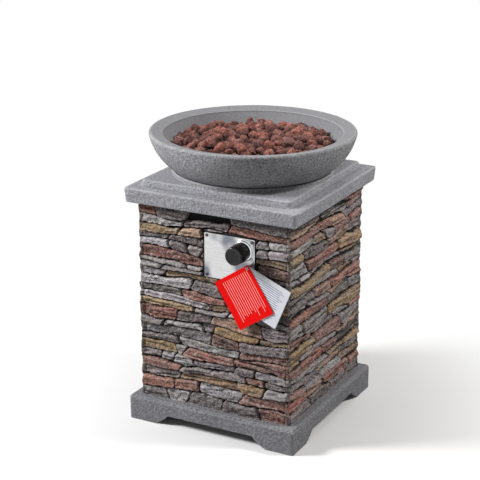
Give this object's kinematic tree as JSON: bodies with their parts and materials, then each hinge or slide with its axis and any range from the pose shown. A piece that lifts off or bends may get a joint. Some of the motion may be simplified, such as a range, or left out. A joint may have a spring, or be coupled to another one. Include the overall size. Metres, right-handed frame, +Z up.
{
  "type": "gas fire pit",
  "caption": "Gas fire pit: a stacked-stone column on a footed base with a square cap, a round bowl of lava rock, a push-and-turn gas knob and hang tags.",
  "frame": {"origin": "on the floor under the centre of the column", "axes": "+Z up, front with the control knob towards -Y, +X to the right seen from the front"},
  "size_m": [0.4742, 0.4753, 0.68],
  "materials": {
    "cast_concrete": "sandy cast surface, speckled, finely pitted",
    "faux_stone": "rough split ledge stone in greys, terracotta and ochre",
    "lava_rock": "porous reddish brown volcanic rock",
    "stainless_steel": "finely brushed",
    "zinc_steel": "zinc plated, dull",
    "spring_steel": "drawn wire",
    "chrome": "polished",
    "black_plastic": "glossy moulded",
    "brass": "machined",
    "valve_aluminium": "die cast and drawn",
    "lead_sleeve": "silicone sleeve",
    "copper_lead": "drawn copper tube",
    "white_ceramic": "fired insulator",
    "clear_nylon": "moulded nylon",
    "red_card": "coated card",
    "white_card": "coated card"
  },
  "bodies": {
    "body": {"base_plinth": "cast_concrete", "mantel_cap": "cast_concrete", "fire_bowl": "cast_concrete", "front_panel": "faux_stone", "right_panel": "faux_stone", "rear_panel": "faux_stone", "left_panel": "faux_stone", "lava_rocks": "lava_rock", "control_plate": "stainless_steel", "burner_ring": "stainless_steel", "burner_hub": "stainless_steel", "plate_screws": "stainless_steel", "thermocouple": "stainless_steel", "corner_angle_rear_right": "zinc_steel", "corner_angle_rear_left": "zinc_steel", "corner_angle_front_left": "zinc_steel", "corner_angle_front_right": "zinc_steel", "panel_screws": "zinc_steel", "base_screws": "zinc_steel", "cap_screws": "zinc_steel", "bowl_bolts": "zinc_steel", "bowl_washers": "zinc_steel", "burner_washer": "zinc_steel", "burner_locknut": "zinc_steel", "sensor_bracket": "zinc_steel", "bracket_screw": "zinc_steel", "valve_screws": "zinc_steel", "valve_cap_screws": "zinc_steel", "mixer_tube": "zinc_steel", "igniter_electrode": "zinc_steel", "return_spring": "spring_steel", "knob_bezel": "chrome", "piezo_igniter": "black_plastic", "gas_orifice": "brass", "tube_nuts": "brass", "inlet_elbow": "brass", "thermocouple_nut": "brass", "valve_body": "valve_aluminium", "valve_rear_cap": "valve_aluminium", "supply_tube": "valve_aluminium", "igniter_lead": "lead_sleeve", "thermocouple_lead": "copper_lead", "electrode_insulator": "white_ceramic"},
    "push": {"thrust_washer": "zinc_steel"},
    "knob": {"control_knob": "black_plastic", "valve_stem": "zinc_steel", "knob_pointer": "black_plastic"},
    "tag_loop": {"tag_loop": "clear_nylon"},
    "red_tag": {"red_hang_tag": "red_card"},
    "white_tag": {"white_hang_tag": "white_card"}
  },
  "joints": [
    {"name": "knob_push", "type": "slide", "parent": "body", "child": "push", "axis": [0, 1, 0], "range_m": [0, 0.003], "stiffness_N_per_m": 1500, "springref_m": -0.002, "deforming": ["return_spring"]},
    {"name": "knob_turn", "type": "hinge", "parent": "push", "child": "knob", "pos_m": [0.076, -0.1998, 0.457], "axis": [0, -1, 0], "range_deg": [0, 180]},
    {"name": "tag_loop_swing", "type": "hinge", "parent": "body", "child": "tag_loop", "pos_m": [0.076, -0.1998, 0.457], "axis": [0, -1, 0], "range_deg": [-60, 40]},
    {"name": "red_tag_swing", "type": "hinge", "parent": "tag_loop", "child": "red_tag", "pos_m": [0.09203, -0.203, 0.42199], "axis": [0, -1, 0], "range_deg": [-40, 40]},
    {"name": "white_tag_swing", "type": "hinge", "parent": "tag_loop", "child": "white_tag", "pos_m": [0.09203, -0.2016, 0.42199], "axis": [0, -1, 0], "range_deg": [-70, 30]}
  ]
}
